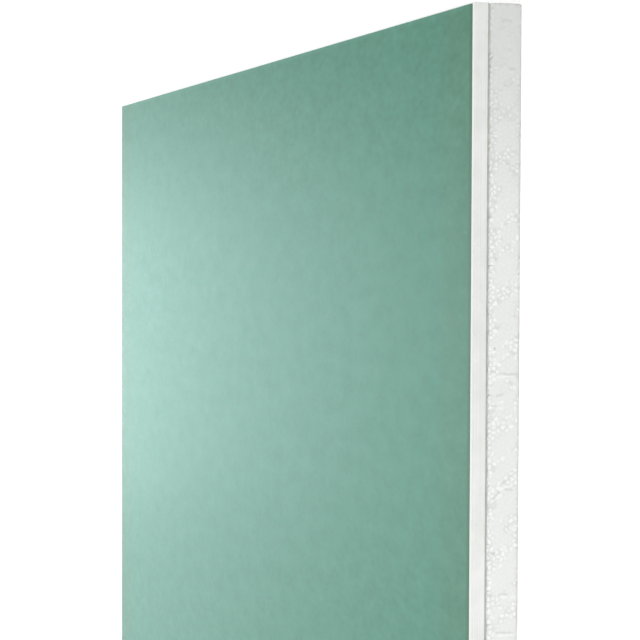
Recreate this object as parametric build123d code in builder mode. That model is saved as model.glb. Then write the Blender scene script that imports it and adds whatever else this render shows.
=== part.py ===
from build123d import *

import math
import os

# Insulated drywall sheet, lying flat on its foam with the green face up.
# Millimetres. +Z is up through the thickness, +Y along the length, +X across the width,
# and the origin is the middle of the underside.

# Sheet outline
sheet_width = 1200.0
sheet_length = 2400.0

# Layers, from the underside to the face
foam_thickness = 25.0
adhesive_thickness = 1.0
back_paper_thickness = 0.5
core_thickness = 11.6
face_paper_thickness = 0.4

# The gypsum is rasped at 45 degrees along the cut edges of the face, where the face paper stops.
core_arris = 1.0

# The foam's long corners are slightly crushed.
foam_arris_radius = 1.0

# Adhesive ribbons, squeezed flat between the back paper and the foam. The sheet is cut to size after
# gluing, so they run out to its edges, and have shrunk back from them a little.
ribbon_width = 30.0
ribbon_spacing_most = 120.0
ribbon_side_margin = 0.6
ribbon_end_margin = 0.6

# Levels of the joints between the layers
foam_top = foam_thickness
back_paper_bottom = foam_top + adhesive_thickness
core_bottom = back_paper_bottom + back_paper_thickness
core_top = core_bottom + core_thickness

# Spread of the ribbons across the sheet
ribbon_length = sheet_length - 2 * ribbon_end_margin
ribbon_span = sheet_width - 2 * ribbon_side_margin - ribbon_width
ribbon_gaps = math.ceil(ribbon_span / ribbon_spacing_most)
ribbon_count = ribbon_gaps + 1
ribbon_spacing = ribbon_span / ribbon_gaps

# Foam slab: one cut slab of bonded beads, with its long corners eased on both broad faces
with BuildPart() as foam_slab:
    with BuildSketch():
        Rectangle(sheet_width, sheet_length)
    extrude(amount=foam_thickness)
    broad_face_edges = foam_slab.edges().filter_by(Axis.Z, reverse=True)
    fillet(broad_face_edges, foam_arris_radius)

# Adhesive ribbons: flat lines of glue along the length, the outer ones beside the sheet's long edges
with BuildPart() as adhesive_ribbons:
    with BuildSketch(Plane.XY.offset(foam_top)):
        with GridLocations(ribbon_spacing, ribbon_length, ribbon_count, 1):
            Rectangle(ribbon_width, ribbon_length)
    extrude(amount=adhesive_thickness)

# Back paper: the grey liner of the board, glued to the foam
with BuildPart() as back_paper:
    with BuildSketch(Plane.XY.offset(back_paper_bottom)):
        Rectangle(sheet_width, sheet_length)
    extrude(amount=back_paper_thickness)

# Gypsum core: cut square, with the arris of the face side rasped off all round
with BuildPart() as gypsum_core:
    with BuildSketch(Plane.XY.offset(core_bottom)):
        Rectangle(sheet_width, sheet_length)
    extrude(amount=core_thickness)
    face_side_edges = gypsum_core.edges().group_by(Axis.Z)[-1]
    chamfer(face_side_edges, core_arris)

# Face paper: the green liner, which reaches the top of the rasped arris
with BuildPart() as face_paper:
    with BuildSketch(Plane.XY.offset(core_top)):
        Rectangle(sheet_width - 2 * core_arris, sheet_length - 2 * core_arris)
    extrude(amount=face_paper_thickness)

foam_slab.part.label = "foam_slab"
adhesive_ribbons.part.label = "adhesive_ribbons"
back_paper.part.label = "back_paper"
gypsum_core.part.label = "gypsum_core"
face_paper.part.label = "face_paper"

os.makedirs("parts", exist_ok=True)
export_step(foam_slab.part, "parts/foam_slab.step")
export_step(adhesive_ribbons.part, "parts/adhesive_ribbons.step")
export_step(back_paper.part, "parts/back_paper.step")
export_step(gypsum_core.part, "parts/gypsum_core.step")
export_step(face_paper.part, "parts/face_paper.step")
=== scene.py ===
import math

import bmesh
import bpy
import numpy as np
from mathutils import Matrix, Vector
from mathutils.geometry import delaunay_2d_cdt


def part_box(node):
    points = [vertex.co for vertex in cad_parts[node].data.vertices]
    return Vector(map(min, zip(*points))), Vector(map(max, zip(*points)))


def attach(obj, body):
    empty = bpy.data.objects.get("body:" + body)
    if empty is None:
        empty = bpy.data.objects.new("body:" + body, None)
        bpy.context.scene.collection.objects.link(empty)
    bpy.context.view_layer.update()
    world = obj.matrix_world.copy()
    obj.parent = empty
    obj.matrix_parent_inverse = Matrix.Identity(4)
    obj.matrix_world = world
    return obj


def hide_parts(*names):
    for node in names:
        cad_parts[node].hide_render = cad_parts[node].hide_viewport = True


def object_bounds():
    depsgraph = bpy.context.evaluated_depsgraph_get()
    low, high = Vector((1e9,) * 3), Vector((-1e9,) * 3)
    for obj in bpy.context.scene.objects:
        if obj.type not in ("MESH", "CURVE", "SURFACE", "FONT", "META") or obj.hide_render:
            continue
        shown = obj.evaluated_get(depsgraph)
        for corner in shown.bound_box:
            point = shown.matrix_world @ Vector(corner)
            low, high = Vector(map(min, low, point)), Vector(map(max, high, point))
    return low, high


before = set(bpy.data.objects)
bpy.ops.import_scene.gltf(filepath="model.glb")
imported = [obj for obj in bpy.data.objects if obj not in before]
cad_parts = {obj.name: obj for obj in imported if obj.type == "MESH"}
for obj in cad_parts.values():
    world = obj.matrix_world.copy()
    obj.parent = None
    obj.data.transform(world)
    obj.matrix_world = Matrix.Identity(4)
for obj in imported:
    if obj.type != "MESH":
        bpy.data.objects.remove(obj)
cadLow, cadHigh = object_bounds()
mm = 0.001
print("frame loaded:", ", ".join(sorted(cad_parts)))


# Camera: low over the sheet's right edge, rolled so that the sheet's length runs up the picture

shot = {
    "pictureSide": 640,  # pixels
    "focalPixels": 2079.1,
    "sensorWidth": 36.0,
    "turn": 72.441,  # degrees from straight above the face towards its right edge
    "pitch": -2.072,
    "roll": 0.203,
    "across": -0.1101,  # from the sheet's near top corner, along the picture's own axes
    "up": -0.22945,
    "away": 1.4987,
    "nearest": 0.05,
    "farthest": 200,
}


def placeCamera():
    turn = math.radians(shot["turn"])
    right = Vector((math.cos(turn), 0, -math.sin(turn)))
    upward = Vector((0, 1, 0))
    back = Vector((math.sin(turn), 0, math.cos(turn)))
    axes = Matrix((right, upward, back)).transposed()
    axes = axes @ Matrix.Rotation(math.radians(shot["pitch"]), 3, "X")
    axes = axes @ Matrix.Rotation(math.radians(shot["roll"]), 3, "Z")
    place = cadHigh + axes @ Vector((shot["across"], shot["up"], shot["away"]))
    lens = bpy.data.cameras.new("camera")
    lens.sensor_width = shot["sensorWidth"]
    lens.lens = shot["focalPixels"] * shot["sensorWidth"] / shot["pictureSide"]
    lens.clip_start = shot["nearest"]
    lens.clip_end = shot["farthest"]
    camera = bpy.data.objects.new("camera", lens)
    bpy.context.scene.collection.objects.link(camera)
    camera.matrix_world = Matrix.Translation(place) @ axes.to_4x4()
    bpy.context.scene.camera = camera


placeCamera()
print("camera placed")


# Shader helper: a node's output that sums can be written with


class Wire:
    def __init__(self, tree, socket=None):
        self.tree = tree
        self.socket = socket

    # any node: its settings come first, then plain values or links for its inputs
    def node(self, kind, settings, inputs, output=0):
        made = self.tree.nodes.new(kind)
        for name, value in settings.items():
            setattr(made, name, value)
        for name, value in inputs.items():
            if isinstance(value, Wire):
                self.tree.links.new(value.socket, made.inputs[name])
            else:
                made.inputs[name].default_value = value
        if made.outputs:
            return Wire(self.tree, made.outputs[output])

    def maths(self, operation, first, second=0.0):
        return self.node("ShaderNodeMath", {"operation": operation}, {0: first, 1: second})

    def vectors(self, operation, inputs, output=0):
        return self.node("ShaderNodeVectorMath", {"operation": operation}, inputs, output)

    def __add__(self, other):
        return self.maths("ADD", self, other)

    def __radd__(self, other):
        return self.maths("ADD", other, self)

    def __sub__(self, other):
        return self.maths("SUBTRACT", self, other)

    def __rsub__(self, other):
        return self.maths("SUBTRACT", other, self)

    def __mul__(self, other):
        return self.maths("MULTIPLY", self, other)

    def __rmul__(self, other):
        return self.maths("MULTIPLY", other, self)

    def __abs__(self):
        return self.maths("ABSOLUTE", self)

    def output(self, name):
        return Wire(self.tree, self.socket.node.outputs[name])

    def axis(self, name):
        return self.node("ShaderNodeSeparateXYZ", {}, {"Vector": self}, name)

    # 0 up to low, 1 from high, and smooth between them
    def rise(self, low, high):
        inputs = {"Value": self, "From Min": low, "From Max": high}
        return self.node("ShaderNodeMapRange", {"interpolation_type": "SMOOTHSTEP"}, inputs)

    # under where this is 0, over where it is 1
    def blendColours(self, under, over):
        inputs = {0: self, 6: asColour(under), 7: asColour(over)}  # 6 and 7 are the sockets for colours
        return self.node("ShaderNodeMix", {"data_type": "RGBA"}, inputs, 2)  # and 2 gives the mixed one


# A wire as it is, or three numbers with the fourth that a colour socket wants
def asColour(value):
    return value if isinstance(value, Wire) else (*value, 1)


# Empties the nodes of a material or a world, ready for new ones
def emptyTree(owner):
    owner.use_nodes = True
    owner.node_tree.nodes.clear()
    return Wire(owner.node_tree)


# A new material, and the place in the sheet's own frame that its patterns follow
def startFinish(name):
    material = bpy.data.materials.new(name)
    place = emptyTree(material).node("ShaderNodeTexCoord", {}, {}, "Object")
    return material, place


# A pattern's own size in metres: one number, or three along X, Y and Z
def scalePlace(place, size):
    sizes = size if isinstance(size, tuple) else (size, size, size)
    factors = [1 / length for length in sizes]
    return place.vectors("MULTIPLY", {0: place, 1: factors})


def cloud(place, size, detail=2.0, roughness=0.5, output=0):
    inputs = {"Vector": scalePlace(place, size), "Scale": 1.0, "Detail": detail, "Roughness": roughness}
    return place.node("ShaderNodeTexNoise", {}, inputs, output)


def cells(place, size, feature="F1"):
    inputs = {"Vector": scalePlace(place, size), "Scale": 1.0}
    return place.node("ShaderNodeTexVoronoi", {"feature": feature}, inputs)


# Bump from a height in metres
def roughenSurface(height):
    return height.node("ShaderNodeBump", {}, {"Height": height, "Distance": 1.0, "Strength": 1.0})


def endFinish(place, inputs):
    shader = place.node("ShaderNodeBsdfPrincipled", {}, inputs)
    place.node("ShaderNodeOutputMaterial", {}, {"Surface": shader})


def dress(node, material):
    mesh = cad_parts[node].data
    mesh.materials.clear()
    mesh.materials.append(material)


# Face paper: green liner with a soft sheen, clouded and flecked, yellower and darker by its long edges

facePaper = {
    "green": (0.087, 0.295, 0.206),
    "deepGreen": (0.051, 0.203, 0.135),
    "paleGreen": (0.137, 0.378, 0.281),
    "warmGreen": (0.097, 0.274, 0.183),  # in a band along the long edges
    "rimGreen": (0.079, 0.186, 0.115),  # right beside them
    "cloudSize": (30 * mm, 16 * mm, 10 * mm),
    "mottleSize": (11 * mm, 5.5 * mm, 5 * mm),
    "cloudShare": 0.70,
    "mottleShare": 1.10,
    "deepRange": (-0.35, 0.10),  # shades under these are deep green
    "deepShare": 0.5,
    "paleRange": (0.0, 0.5),  # and shades over these are pale
    "paleShare": 0.5,
    "fleckSpacing": (34 * mm, 15 * mm, 10 * mm),
    "fleckSize": (0.064, 0.16),  # its middle and its whole, in spacings
    "fleckShare": 0.35,
    "warmBand": (41.25 * mm, 75 * mm),  # each band is full up to the first length, gone at the second
    "sideRim": (2.925 * mm, 8.45 * mm),
    "sideRimShare": 0.85,
    "endRim": (2.025 * mm, 5.85 * mm),  # where the paper is a little paler
    "endRimShare": 0.30,
    "sheenRoughness": 0.49,
    "mottleRoughness": 0.10,
    "cloudGloss": 0.015,
    "sheenLevel": 0.11,
    "mottleHeight": 0.0176 * mm,
    "cloudHeight": 0.0132 * mm,
    "fleckHeight": 0.0066 * mm,
}


def makeFacePaper():
    paper = facePaper
    material, place = startFinish("greenPaper")
    fromSide = cadHigh.x - abs(place.axis("X"))
    fromEnd = cadHigh.y - abs(place.axis("Y"))
    warm = 1 - fromSide.rise(*paper["warmBand"])
    sideRim = (1 - fromSide.rise(*paper["sideRim"])) * paper["sideRimShare"]
    endRim = (1 - fromEnd.rise(*paper["endRim"])) * paper["endRimShare"]
    clouds = cloud(place, paper["cloudSize"])
    mottle = cloud(place, paper["mottleSize"])
    fleck = 1 - cells(place, paper["fleckSpacing"]).rise(*paper["fleckSize"])
    shade = (clouds - 0.5) * paper["cloudShare"] + (mottle - 0.5) * paper["mottleShare"]
    deep = (1 - shade.rise(*paper["deepRange"])) * paper["deepShare"]
    pale = shade.rise(*paper["paleRange"]) * paper["paleShare"] + fleck * mottle * paper["fleckShare"]
    colour = warm.blendColours(paper["green"], paper["warmGreen"])
    colour = deep.blendColours(colour, paper["deepGreen"])
    colour = (pale + endRim).blendColours(colour, paper["paleGreen"])
    colour = sideRim.blendColours(colour, paper["rimGreen"])
    roughness = paper["sheenRoughness"] + (mottle - 0.5) * paper["mottleRoughness"]
    roughness = roughness - (clouds - 0.5) * paper["cloudGloss"]
    height = mottle * paper["mottleHeight"] + clouds * paper["cloudHeight"] + fleck * paper["fleckHeight"]
    endFinish(place, {
        "Base Color": colour,
        "Roughness": roughness,
        "Specular IOR Level": paper["sheenLevel"],
        "Normal": roughenSurface(height),
    })
    return material


# Gypsum core: off-white plaster cut with a knife, with pinholes and faint marks along the cut; the
# pinholes are painted darker as painted shade, and the rasped arris is painted lighter as a painted
# highlight

gypsum = {
    "plaster": (0.805, 0.817, 0.79),
    "dust": (0.93, 0.935, 0.915),
    "dustShare": 0.8,
    "dustRange": (0.38, 0.64),
    "patchSize": 18 * mm,
    "patchShare": 0.4,  # the rest of the dust lies in the cut marks
    "cutMarkWidth": 0.65 * mm,
    "cutMarkLength": 400 * mm,
    "cutMarkHeight": 0.07 * mm,
    # painted shade: the pinholes are painted darker, standing in for the shade inside them
    "pinholeShade": (0.50, 0.50, 0.47),
    "pinholeShare": 0.25,
    "pinholeSpacing": 2.3 * mm,
    "pinholeSize": (0.15 / 2.3, 0.45 / 2.3),  # its middle and its whole, in spacings
    "pinholeDepth": 0.08 * mm,
    # painted highlight: the rasped arris is painted lighter, standing in for the light that it catches
    "arrisHighlight": (0.94, 0.985, 0.95),
    "arrisBlur": 0.1 * mm,
    "grainSize": 0.9 * mm,
    "grainHeight": 0.03 * mm,
    "roughness": 0.85,
    "gloss": 0.25,
}
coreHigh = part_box("gypsum_core")[1]
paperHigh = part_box("face_paper")[1]
arrisBottom = coreHigh.z - (coreHigh.x - paperHigh.x)  # rasped at 45 degrees


def makeGypsum():
    core = gypsum
    material, place = startFinish("gypsum")
    marks = cloud(place, (core["cutMarkWidth"], core["cutMarkLength"], core["cutMarkWidth"]))
    patches = cloud(place, core["patchSize"])
    grain = cloud(place, core["grainSize"], detail=3.0, roughness=0.6)
    hole = 1 - cells(place, core["pinholeSpacing"]).rise(*core["pinholeSize"])
    dusty = patches * core["patchShare"] + marks * (1 - core["patchShare"])
    dusty = dusty.rise(*core["dustRange"]) * core["dustShare"]
    arris = place.axis("Z").rise(arrisBottom - core["arrisBlur"], arrisBottom + core["arrisBlur"])
    colour = dusty.blendColours(core["plaster"], core["dust"])
    # painted shade in the pinholes
    colour = (hole * core["pinholeShare"]).blendColours(colour, core["pinholeShade"])
    # the arris band gets its painted highlight
    colour = arris.blendColours(colour, core["arrisHighlight"])
    height = grain * core["grainHeight"] + marks * core["cutMarkHeight"] - hole * core["pinholeDepth"]
    endFinish(place, {
        "Base Color": colour,
        "Roughness": core["roughness"],
        "Specular IOR Level": core["gloss"],
        "Normal": roughenSurface(height),
    })
    return material


# Back paper: grey recycled liner, of which only the cut edge shows

backPaper = {
    "grey": (0.51, 0.52, 0.48),
    "darkFibre": (0.34, 0.34, 0.30),
    "greyRange": (0.35, 0.65),
    "patchSize": 11 * mm,
    "patchShare": 0.5,
    "fibreSize": 1.2 * mm,
    "fibreHeight": 0.08 * mm,
    "roughness": 0.9,
    "gloss": 0.2,
}


def makeBackPaper():
    paper = backPaper
    material, place = startFinish("greyPaper")
    fibres = cloud(place, paper["fibreSize"], detail=3.0, roughness=0.7)
    patches = cloud(place, paper["patchSize"])
    grey = fibres * (1 - paper["patchShare"]) + patches * paper["patchShare"]
    endFinish(place, {
        "Base Color": grey.rise(*paper["greyRange"]).blendColours(paper["darkFibre"], paper["grey"]),
        "Roughness": paper["roughness"],
        "Specular IOR Level": paper["gloss"],
        "Normal": roughenSurface(fibres * paper["fibreHeight"]),
    })
    return material


# Adhesive ribbons, dull and yellowish grey

adhesive = {
    "glue": (0.42, 0.425, 0.395),
    "paleGlue": (0.53, 0.535, 0.495),
    "paleRange": (0.3, 0.7),
    "rippleSize": 6 * mm,
    "rippleHeight": 0.15 * mm,
    "roughness": 0.6,
}


def makeAdhesive():
    material, place = startFinish("adhesive")
    ripples = cloud(place, adhesive["rippleSize"])
    pale = ripples.rise(*adhesive["paleRange"])
    endFinish(place, {
        "Base Color": pale.blendColours(adhesive["glue"], adhesive["paleGlue"]),
        "Roughness": adhesive["roughness"],
        "Normal": roughenSurface(ripples * adhesive["rippleHeight"]),
    })
    return material


# Bead foam: a slab whose cut sides show its beads, level where the cut was clean and domed where it tore

foam = {
    "seed": 7,
    "beadPitch": 3.9 * mm,
    "beadScatter": 0.36,  # how far a bead may sit off its place, in pitches
    "missingBeads": 0.05,
    "cornerSnap": 0.3 * mm,  # corners of an outline closer than about this become one
    "smallestOutline": 0.01 * mm * mm,
    "smallestBead": 0.8 * mm * mm,  # a smaller one has no dome
    "weld": 0.01 * mm,
    "arris": 1.0 * mm,
    # unevenness along the sides: its size, and the phase that its waves start at
    "wavers": {
        "tear": (46 * mm, 2.0),
        "smallTear": (17 * mm, 5.0),
        "groove": (5 * mm, 1.0),
        "nibble": (6 * mm, 4.0),
        "rim": (13 * mm, 3.0),
    },
    "waves": ((1.0, 0.8), (0.71, -1.1), (0.53, 1.6)),  # the length of each in that size, and its lean
    # how torn the cut is
    "smallTearShare": 0.4,
    "tearLevel": 0.51,  # a higher level leaves less of the cut torn
    "tearContrast": 4,
    "jointBand": 8 * mm,  # how far from the joint the cut is rougher
    "backBand": 4 * mm,  # and how far from the underside
    "jointTear": 0.5,
    "backTear": 0.2,
    # the beads' relief
    "grooveRange": (0.04 * mm, 0.42 * mm),  # from a clean cut to a torn one
    "grooveSpread": (0.4, 1.6),
    "cleanUnder": (0.15, 0.5),  # a bead less torn than a draw from this range is cut clean through
    "cleanHollow": 0.03 * mm,
    "cleanSkin": 0.2,
    "domeShare": 0.60,  # the top of a dome, as a share of its bead
    "domeDrop": 0.16 * mm,
    "domeSkin": (0.4, 1.0),
    "topSpread": 0.20 * mm,
    "tilt": 0.16,
    "pitShare": 0.03,
    "pitDepth": 0.6 * mm,
    "pitShoulder": 0.75,
    "nibbleDepth": 1.3 * mm,
    "nibbleReach": 2.5 * mm,
    "nibbleContrast": 2.4,
    "nibbleLevel": 1.1,
    # colour and gloss
    "seamRange": (0.2, 0.8),  # how much painted shade the seams get, from a clean cut to a torn one
    # painted shade in the pits
    "pitSeam": 0.8,
    # painted shade along the joint and the underside, from light to heavy
    "rimSpread": (0.4, 1.3),
    "jointShade": 1.8 * mm,  # how far from the joint the sides get painted shade
    "backShade": 3.0 * mm,  # and how far from the underside
    "white": (0.84, 0.855, 0.835),
    # the colours of the painted shade in seams, pits and rims, and of the painted shadow in cracks
    "seamShade": (0.73, 0.745, 0.725),
    "crackShade": (0.58, 0.60, 0.58),
    # skins are whiter, partly a painted highlight standing in for glints
    "skinAndGlintWhite": (0.975, 0.99, 0.965),
    "seamShare": 0.9,
    "endGreyShare": 1.3,
    "patchShare": 0.4,
    "shadeRange": (0.0, 1.1),
    "patchSize": 14 * mm,
    "greyerEnd": (-110 * mm, 220 * mm),  # greyer towards an end: full at the first distance, gone at the second
    "cutRoughness": 0.62,
    "skinRoughness": 0.22,
    "gloss": 0.5,
    "grainSize": 0.8 * mm,
    "grainHeight": 0.06 * mm,
    "crumpleSize": (2.4 * mm, 2.4 * mm, 4.0 * mm),
    "crumpleHeight": (0.09 * mm, 0.45 * mm),  # from a clean cut to a torn one
    "broadSkin": 0.5,
    "broadSeam": 0.12,
    "broadSeamDepth": 0.06 * mm,
    "broadGrainHeight": 0.018 * mm,
    "ridgeWidth": 1.5 * mm,
    "ridgeHeight": 0.20 * mm,
    # ridges count as skin: glossier, and whiter as a painted highlight
    "ridgeSkinAndGlint": 0.9,
    "crackWidth": 1.4 * mm,
    "crackShare": 0.55,
    "bendSize": 2.2 * mm,  # ridges and cracks are not quite straight
    "bendDepth": 2.4 * mm,
    # where the knife dragged on the right side: mm down from the top end and mm up from the floor
    "ridges": (
        ((14.4, 14.9), (14.3, 7.8)),
        ((49.2, 9.5), (48.6, 5.8)),
        ((262.2, 15.4), (260.8, 13.9)),
        ((270.9, 15.0), (271.0, 4.7)),
        ((290.0, 15.6), (289.3, 12.9)),
        ((294.2, 15.6), (293.7, 12.8)),
        ((297.8, 23.4), (295.0, 21.1)),
        ((363.0, 21.4), (357.4, 13.6)),
        ((355.0, 17.5), (351.6, 10.4)),
        ((351.6, 10.4), (351.8, 4.9)),
        ((350.7, 16.4), (347.8, 14.4)),
        ((382.7, 4.3), (380.6, 1.9)),
        ((405.1, 21.5), (403.0, 18.7)),
        ((410.3, 13.9), (409.5, 13.3)),
        ((433.2, 11.6), (432.4, 8.6)),
        ((433.6, 5.2), (433.0, 2.7)),
        ((439.8, 13.6), (439.0, 11.8)),
        ((460.8, 15.0), (461.0, 4.0)),
    ),
    # painted shadow: these lines are only darkened, standing in for the shade in the cracks
    "cracks": (
        ((12.4, 14.9), (12.3, 7.8)),
        ((46.8, 9.5), (47.4, 4.8)),
        ((267.2, 22.5), (267.3, 19.3)),
        ((268.7, 15.3), (269.7, 5.9)),
        ((269.7, 5.9), (269.9, 2.4)),
        ((285.0, 18.0), (284.2, 13.3)),
        ((292.8, 21.1), (292.8, 18.7)),
        ((350.4, 13.6), (347.9, 11.3)),
        ((360.8, 20.6), (355.8, 15.9)),
        ((353.8, 10.4), (354.3, 5.7)),
        ((401.1, 21.1), (400.5, 18.8)),
        ((430.6, 24.2), (431.6, 21.6)),
        ((431.0, 14.5), (430.8, 9.0)),
        ((458.8, 17.0), (459.4, 4.0)),
    ),
}
foamLow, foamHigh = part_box("foam_slab")
arrisLength = foam["arris"] * math.pi / 2
stripHeight = foamHigh.z - foamLow.z - 2 * foam["arris"] + 2 * arrisLength
sheetCorners = [  # round the sheet, seen from above, starting at the near bottom corner
    Vector((cadHigh.x, cadLow.y)),
    Vector((cadHigh.x, cadHigh.y)),
    Vector((cadLow.x, cadHigh.y)),
    Vector((cadLow.x, cadLow.y)),
]
sideStarts = [0.0]
for corner, nextCorner in zip(sheetCorners, sheetCorners[1:] + sheetCorners[:1]):
    sideStarts.append(sideStarts[-1] + (nextCorner - corner).length)
girth = sideStarts[-1]


# Bead centres on the strip that the four sides make when it is unrolled: along it, and up it
def scatterBeads(draw):
    pitch = foam["beadPitch"]
    columns = round(girth / pitch)
    rowGap = pitch * math.sqrt(3) / 2
    rows = math.ceil(stripHeight / rowGap) + 3  # the first lies under the strip, and the last over it
    along, row = np.meshgrid(np.arange(columns), np.arange(rows))
    along = (along + 0.5 * (row % 2)) * girth / columns
    centres = np.stack([along.ravel(), (row.ravel() - 1) * rowGap], 1)
    centres += draw.uniform(-1, 1, centres.shape) * foam["beadScatter"] * pitch
    centres[:, 0] %= girth
    centres = centres[draw.random(len(centres)) > foam["missingBeads"]]
    overlap = 4 * pitch  # the strip goes on past both ends, so that they meet
    ahead = centres[centres[:, 0] < overlap] + [girth, 0]
    behind = centres[centres[:, 0] > girth - overlap] - [girth, 0]
    return np.concatenate([centres, ahead, behind])


# The outline of each bead, whose corners are as far from its centre as from two neighbours' centres
def outlineBeads(centres):
    tolerance = 1e-7
    points = [Vector(centre) / mm for centre in centres]
    triangles = np.array(delaunay_2d_cdt(points, [], [], 0, tolerance)[2])
    a, b, c = (centres[triangles[:, i]] for i in range(3))
    b, c = b - a, c - a
    twice = 2 * (b[:, 0] * c[:, 1] - b[:, 1] * c[:, 0])
    squareB, squareC = (b ** 2).sum(1), (c ** 2).sum(1)
    across = (c[:, 1] * squareB - b[:, 1] * squareC) / twice
    upward = (b[:, 0] * squareC - c[:, 0] * squareB) / twice
    meetings = a + np.stack([across, upward], 1)
    beads = triangles.ravel()
    corners = np.repeat(np.arange(len(triangles)), 3)
    reach = meetings[corners] - centres[beads]
    order = np.lexsort((np.arctan2(reach[:, 1], reach[:, 0]), beads))
    beads, corners = beads[order], corners[order]
    snap = foam["cornerSnap"]
    meetings = np.round(meetings / snap) * snap
    firsts = np.flatnonzero(np.diff(beads, prepend=-1))
    outlines = [meetings[ring] for ring in np.split(corners, firsts[1:])]
    return [ring[(ring != np.roll(ring, 1, 0)).any(1)] for ring in outlines]


# What is left of an outline between two levels: axis 0 is along the strip, axis 1 is up it
def trimOutline(outline, axis, low, high):
    for level, sign in ((low, 1), (high, -1)):
        inside = (outline[:, axis] - level) * sign
        if (inside >= 0).all():
            continue
        kept = []
        following = np.roll(outline, -1, 0)
        for here, there, depth, nextDepth in zip(outline, following, inside, np.roll(inside, -1)):
            if depth >= 0:
                kept.append(here)
            if depth * nextDepth < 0:
                crossing = here + (there - here) * (depth / (depth - nextDepth))
                crossing[axis] = level
                kept.append(crossing)
        outline = np.array(kept).reshape(-1, 2)
    return outline


def outlineArea(outline):
    along, up = outline[:, 0], outline[:, 1]
    return abs(np.dot(along, np.roll(up, -1)) - np.dot(up, np.roll(along, -1))) / 2


def between(levels, share):
    low, high = levels
    return low + (high - low) * share


# 1 at the start, falling to 0 at the reach
def fadeOut(distance, reach):
    return np.clip(1 - distance / reach, 0, 1)


# An unevenness from 0 to 1 that meets itself where the strip closes
def waver(along, up, name):
    size, phase = foam["wavers"][name]
    total = 0.0
    for turn, (stretch, lean) in enumerate(foam["waves"], 1):
        crests = round(girth / (size * stretch))
        angle = 2 * math.pi * (along * crests / girth + up * lean / size)
        total = total + np.sin(angle + phase * turn)
    return 0.5 + total / (2 * len(foam["waves"]))


# How torn the cut is, from 0 to 1
def tear(along, up):
    share = foam["smallTearShare"]
    patches = waver(along, up, "tear") * (1 - share) + waver(along, up, "smallTear") * share
    nearJoint = fadeOut(stripHeight - up, foam["jointBand"]) * foam["jointTear"]
    nearBack = fadeOut(up, foam["backBand"]) * foam["backTear"]
    level = patches + nearJoint + nearBack - foam["tearLevel"]
    return np.clip(level * foam["tearContrast"], 0, 1)


def grooveDepth(along, up):
    depth = between(foam["grooveRange"], tear(along, up))
    fade = 1 - fadeOut(np.minimum(up, stripHeight - up), foam["arris"])
    return depth * between(foam["grooveSpread"], waver(along, up, "groove")) * fade


# Places on the unrolled strip, with their depth under its surface, in the sheet's own frame
def wrapStrip(along, up, depth, side):
    radius = foam["arris"]
    low = np.clip(up / radius - math.pi / 2, -math.pi / 2, 0)
    high = np.clip((up - stripHeight + arrisLength) / radius, 0, math.pi / 2)
    level = np.clip(up - arrisLength, 0, stripHeight - 2 * arrisLength)
    height = foamLow.z + radius * (1 + np.sin(low) + np.sin(high)) + level
    slope = low + high
    nibble = np.clip(waver(along, 0, "nibble") * foam["nibbleContrast"] - foam["nibbleLevel"], 0, 1)
    nibble = nibble * foam["nibbleDepth"] * fadeOut(stripHeight - up, foam["nibbleReach"])
    inset = radius * (1 - np.cos(slope)) + depth * np.cos(slope) + nibble
    corner, nextCorner = sheetCorners[side], sheetCorners[(side + 1) % 4]
    forward = np.array((nextCorner - corner).normalized())
    outward = np.array([forward[1], -forward[0]])
    length = sideStarts[side + 1] - sideStarts[side]
    # drawn in at both ends, so that two sides meet on the mitre
    run = inset + (along - sideStarts[side]) * (1 - 2 * inset / length)
    flat = np.array(corner) + run[:, None] * forward - inset[:, None] * outward
    return np.column_stack([flat, height - depth * np.sin(slope)])


# Each spot is a place along the strip, one up it, a depth, whether it is in a groove, and its skin
def addBead(outline, draw, spots, faces):
    first = len(spots)
    count = len(outline)
    spots += [(along, up, 0.0, 1.0, 0.0) for along, up in outline.tolist()]
    if outlineArea(outline) < foam["smallestBead"]:
        faces.append(range(first, first + count))
        return
    middle = outline.mean(0)
    torn = float(tear(*middle))
    if torn < draw.uniform(*foam["cleanUnder"]):
        spots.append((*middle.tolist(), draw.uniform(0, foam["cleanHollow"]), 0.0, foam["cleanSkin"]))
        faces += [(first + i, first + (i + 1) % count, first + count) for i in range(count)]
        return
    top = draw.uniform(0, foam["topSpread"])
    shoulder = top + foam["domeDrop"]
    skin = draw.uniform(*foam["domeSkin"])
    if draw.random() < foam["pitShare"] * (1 + torn):
        top, shoulder = foam["pitDepth"], foam["pitDepth"] * foam["pitShoulder"]
        skin = 0.0
    inner = middle + (outline - middle) * foam["domeShare"]
    tilt = draw.uniform(-1, 1, 2) * foam["tilt"]
    depths = np.maximum(shoulder + (inner - middle) @ tilt, 0)
    spots += [(*place, depth, 0.0, skin) for place, depth in zip(inner.tolist(), depths.tolist())]
    spots.append((*middle.tolist(), top, 0.0, skin))
    for i in range(count):
        j = (i + 1) % count
        faces.append((first + i, first + j, first + count + j, first + count + i))
        faces.append((first + count + i, first + count + j, first + 2 * count))


# Every bead on the four sides: its spots, its faces, and where the spots lie
def layBeads():
    draw = np.random.default_rng(foam["seed"])
    outlines = outlineBeads(scatterBeads(draw))
    spots, faces, places = [], [], []
    for side in range(4):
        start, end = sideStarts[side], sideStarts[side + 1]
        first = len(spots)
        for outline in outlines:
            if outline[:, 0].max() <= start or outline[:, 0].min() >= end:
                continue
            outline = trimOutline(outline, 0, start, end)
            outline = trimOutline(outline, 1, 0, stripHeight)
            if len(outline) > 2 and outlineArea(outline) > foam["smallestOutline"]:
                addBead(outline, draw, spots, faces)
        along, up, depth, inGroove, skin = np.array(spots[first:]).T
        places.append(wrapStrip(along, up, depth + inGroove * grooveDepth(along, up), side))
    return np.array(spots), faces, np.concatenate(places)


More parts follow.
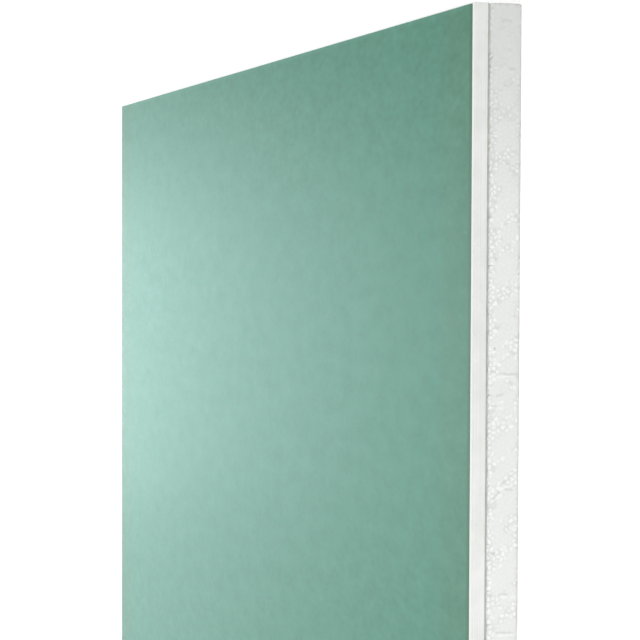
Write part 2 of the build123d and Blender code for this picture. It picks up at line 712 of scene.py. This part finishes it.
# Closes the open rim of the sides with one flat face
def closeBroadFace(net, level):
    openEdges = [edge for edge in net.edges if edge.is_boundary]
    rim = [edge for edge in openEdges if abs(edge.verts[0].co.z - level) < foam["arris"]]
    for edge in rim:
        edge.smooth = False
        for point in edge.verts:
            point.co.z = level
    for face in bmesh.ops.edgeloop_fill(net, edges=rim)["faces"]:
        face.material_index = 1  # the broad faces' own finish


def makeFoamSlab():
    spots, faces, places = layBeads()
    along, up, depth, inGroove, skin = spots.T
    torn = tear(along, up)
    fromRim = np.minimum(up / foam["backShade"], (stripHeight - up) / foam["jointShade"])
    # painted shade: grooves, pits and the rims by the joint and the underside are darkened through this
    # attribute
    seam = inGroove * between(foam["seamRange"], torn) + (depth > foam["pitDepth"] * 0.5) * foam["pitSeam"]
    seam = seam + fadeOut(fromRim, 1) * between(foam["rimSpread"], waver(along, up, "rim"))
    mesh = bpy.data.meshes.new("foam_beads")
    mesh.from_pydata(places.tolist(), [], faces)
    for name, values in (("seam", seam), ("skin", skin), ("torn", torn)):
        mesh.attributes.new(name, "FLOAT", "POINT").data.foreach_set("value", values)
    net = bmesh.new()
    net.from_mesh(mesh)
    bmesh.ops.remove_doubles(net, verts=net.verts, dist=foam["weld"])
    for face in net.faces:
        face.smooth = True
    closeBroadFace(net, foamLow.z)
    closeBroadFace(net, foamHigh.z)
    bmesh.ops.recalc_face_normals(net, faces=net.faces)
    net.to_mesh(mesh)
    net.free()
    slab = bpy.data.objects.new("foam_beads", mesh)
    bpy.context.scene.collection.objects.link(slab)
    return slab


# Lines on the right side, 1 along their middle and 0 from their width on
def drawMarks(place, marks, width):
    depth = foam["bendDepth"]
    shift = cloud(place, foam["bendSize"], detail=1.0, output="Color")
    moved = place.vectors("MULTIPLY_ADD", {0: shift, 1: (depth, depth, depth), 2: place})
    # flattened onto the side, and moved back by half the bend, so that lines bend either way
    flat = place.vectors("MULTIPLY_ADD", {0: moved, 1: (0, 1, 1), 2: (0, -depth / 2, -depth / 2)})
    total = 0.0
    for ends in marks:
        start, end = (Vector((0, cadHigh.y - down * mm, cadLow.z + up * mm)) for down, up in ends)
        reach = end - start
        offset = place.vectors("SUBTRACT", {0: flat, 1: start})
        share = place.vectors("DOT_PRODUCT", {0: offset, 1: reach / reach.length_squared}, "Value")
        share = place.node("ShaderNodeClamp", {}, {"Value": share})
        foot = place.vectors("SCALE", {0: reach, "Scale": share})
        gap = place.vectors("DISTANCE", {0: offset, 1: foot}, "Value")
        total = total + (1 - gap.rise(0.0, width))
    onRight = place.axis("X").rise(0.0, cadHigh.x)
    return place.maths("MINIMUM", total, 1.0) * onRight


# Painted shade in seams, pits and rims, greyer ends and random patches over the white
def foamColour(place, seam, skin, patches):
    fromEnd = cadHigh.y - abs(place.axis("Y"))
    # greyer towards each end
    endGrey = 1 - fromEnd.rise(*foam["greyerEnd"])
    shade = seam * foam["seamShare"] + endGrey * foam["endGreyShare"] + (patches - 0.5) * foam["patchShare"]
    # skin is painted whiter, partly a painted highlight
    colour = skin.blendColours(foam["white"], foam["skinAndGlintWhite"])
    return shade.rise(*foam["shadeRange"]).blendColours(colour, foam["seamShade"])


def endFoam(place, colour, skin, height):
    endFinish(place, {
        "Base Color": colour,
        "Roughness": foam["cutRoughness"] - skin * (foam["cutRoughness"] - foam["skinRoughness"]),
        "Specular IOR Level": foam["gloss"],
        "Normal": roughenSurface(height),
    })


# The four sides, with the seams, skins and torn places that the mesh carries
def makeFoamSides():
    material, place = startFinish("foamSides")
    seam, skin, torn = (
        place.node("ShaderNodeAttribute", {"attribute_name": name}, {}, "Fac")
        for name in ("seam", "skin", "torn")
    )
    grain = cloud(place, foam["grainSize"], detail=3.0, roughness=0.6)
    crumple = cloud(place, foam["crumpleSize"]) * between(foam["crumpleHeight"], torn)
    ridges = drawMarks(place, foam["ridges"], foam["ridgeWidth"])
    cracks = drawMarks(place, foam["cracks"], foam["crackWidth"])
    # ridges take skin: gloss, and a painted highlight in their colour
    skin = place.maths("MAXIMUM", skin, ridges * foam["ridgeSkinAndGlint"])
    colour = foamColour(place, seam, skin, cloud(place, foam["patchSize"]))
    # the cracks are painted shadow
    colour = (cracks * foam["crackShare"]).blendColours(colour, foam["crackShade"])
    endFoam(place, colour, skin, grain * foam["grainHeight"] + crumple + ridges * foam["ridgeHeight"])
    return material


# The underside and the glued side, smooth, with faint outlines of beads: shallow grooves with painted
# shade
def makeFoamBroadFaces():
    material, place = startFinish("foamBroadFaces")
    patches = cloud(place, foam["patchSize"])
    grain = cloud(place, foam["grainSize"], detail=3.0, roughness=0.6)
    seam = 1 - cells(place, foam["beadPitch"], "DISTANCE_TO_EDGE").rise(0.0, foam["broadSeam"])
    skin = patches * foam["broadSkin"]
    height = grain * foam["broadGrainHeight"] - seam * foam["broadSeamDepth"]
    endFoam(place, foamColour(place, seam, skin, patches), skin, height)
    return material


dress("face_paper", makeFacePaper())
dress("gypsum_core", makeGypsum())
dress("back_paper", makeBackPaper())
dress("adhesive_ribbons", makeAdhesive())
print("papers, plaster and glue finished")
foamSlab = makeFoamSlab()
foamSlab.data.materials.append(makeFoamSides())
foamSlab.data.materials.append(makeFoamBroadFaces())
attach(foamSlab, "root")
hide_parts("foam_slab")
print("foam slab made:", len(foamSlab.data.polygons), "faces")


# Floor, world and lamps

studio = {
    "floorReach": 60.0,
    "floorGap": 0.05 * mm,
    "floorShade": 0.80,
    "floorGlow": 0.52,  # lights nothing, and lets the floor show white round the object
    "skyLight": 0.50,
    "skySeen": 1.0,
}
lamps = {
    "topLamp": {
        "place": (0.2, -0.45, 2.2), "aim": (0.2, -0.45, 0), "size": (2.2, 2.6), "radiance": 1.0,
    },
    "edgeLamp": {
        "place": (2.3, 1.1, 0.27), "aim": (0.6, 1.1, 0.04), "size": (2.4, 0.5), "radiance": 2.15,
    },
    "glintLamp": {
        "place": (2.2, 0.1, 0.45), "aim": (0.6, 0.9, 0.02), "size": (0.35, 0.35), "radiance": 18.0,
    },
    "sheenLamp": {
        "place": (-2.6, 0.80, 0.41), "aim": (-0.6, 0.80, 0.04), "size": (0.72, 0.56), "radiance": 5.14,
        "colour": (0.78, 1.0, 1.0),
    },
    "backLamp": {
        "place": (-2.8, 0.62, 0.76), "aim": (-0.6, 0.62, 0.04), "size": (1.58, 0.41), "radiance": 9.0,
        "colour": (0.78, 1.0, 1.0),
    },
    # low lamps, which light only the sides that face away from the camera
    "leftLamp": {
        "place": (-1.2, 0, 0.019), "aim": (-0.6, 0, 0.019), "size": (2.4, 0.03), "radiance": 4.3,
        "colour": (1.0, 0.15, 0.2),  # takes the tint of the two lamps before it off the white edge
    },
    "topEndLamp": {
        "place": (0, 2.0, 0.019), "aim": (0, 1.2, 0.019), "size": (1.2, 0.03), "radiance": 25.0,
    },
    "bottomEndLamp": {
        "place": (0, -2.0, 0.019), "aim": (0, -1.2, 0.019), "size": (1.2, 0.03), "radiance": 25.0,
    },
}


# 1 for what the camera sees, also in gloss and through glass, and 0 for the light that falls on things
def seenRays(tree):
    rays = tree.node("ShaderNodeLightPath", {}, {}, "Is Camera Ray")
    seen = rays + rays.output("Is Glossy Ray") + rays.output("Is Transmission Ray")
    return tree.maths("MINIMUM", seen, 1.0)


def makeFloor():
    reach = studio["floorReach"]
    level = cadLow.z - studio["floorGap"]
    corners = [
        (-reach, -reach, level), (reach, -reach, level),
        (reach, reach, level), (-reach, reach, level),
    ]
    mesh = bpy.data.meshes.new("floor")
    mesh.from_pydata(corners, [], [(0, 1, 2, 3)])
    floor = bpy.data.objects.new("floor", mesh)
    bpy.context.scene.collection.objects.link(floor)
    material = bpy.data.materials.new("floor")
    tree = emptyTree(material)
    matt = tree.node("ShaderNodeBsdfDiffuse", {}, {"Color": asColour((studio["floorShade"],) * 3)})
    glow = tree.node("ShaderNodeEmission", {}, {"Strength": seenRays(tree) * studio["floorGlow"]})
    both = tree.node("ShaderNodeAddShader", {}, {0: matt, 1: glow})
    tree.node("ShaderNodeOutputMaterial", {}, {"Surface": both})
    mesh.materials.append(material)


def makeWorld():
    world = bpy.data.worlds.new("studio")
    tree = emptyTree(world)
    strength = between((studio["skyLight"], studio["skySeen"]), seenRays(tree))
    light = tree.node("ShaderNodeBackground", {}, {"Color": (1, 1, 1, 1), "Strength": strength})
    tree.node("ShaderNodeOutputWorld", {}, {"Surface": light})
    bpy.context.scene.world = world


def makeLamp(name, facts):
    light = bpy.data.lights.new(name, "AREA")
    light.shape = "RECTANGLE"
    light.size, light.size_y = facts["size"]
    light.energy = facts["radiance"] * math.pi * light.size * light.size_y
    light.color = facts.get("colour", (1, 1, 1))
    lamp = bpy.data.objects.new(name, light)
    bpy.context.scene.collection.objects.link(lamp)
    place = Vector(facts["place"])
    lamp.location = place
    lamp.rotation_mode = "QUATERNION"
    lamp.rotation_quaternion = (Vector(facts["aim"]) - place).to_track_quat("-Z", "Y")
    lamp.visible_camera = False


makeFloor()
makeWorld()
for name, facts in lamps.items():
    makeLamp(name, facts)
bpy.context.scene.view_settings.view_transform = "Standard"
print("floor, world and lamps placed")
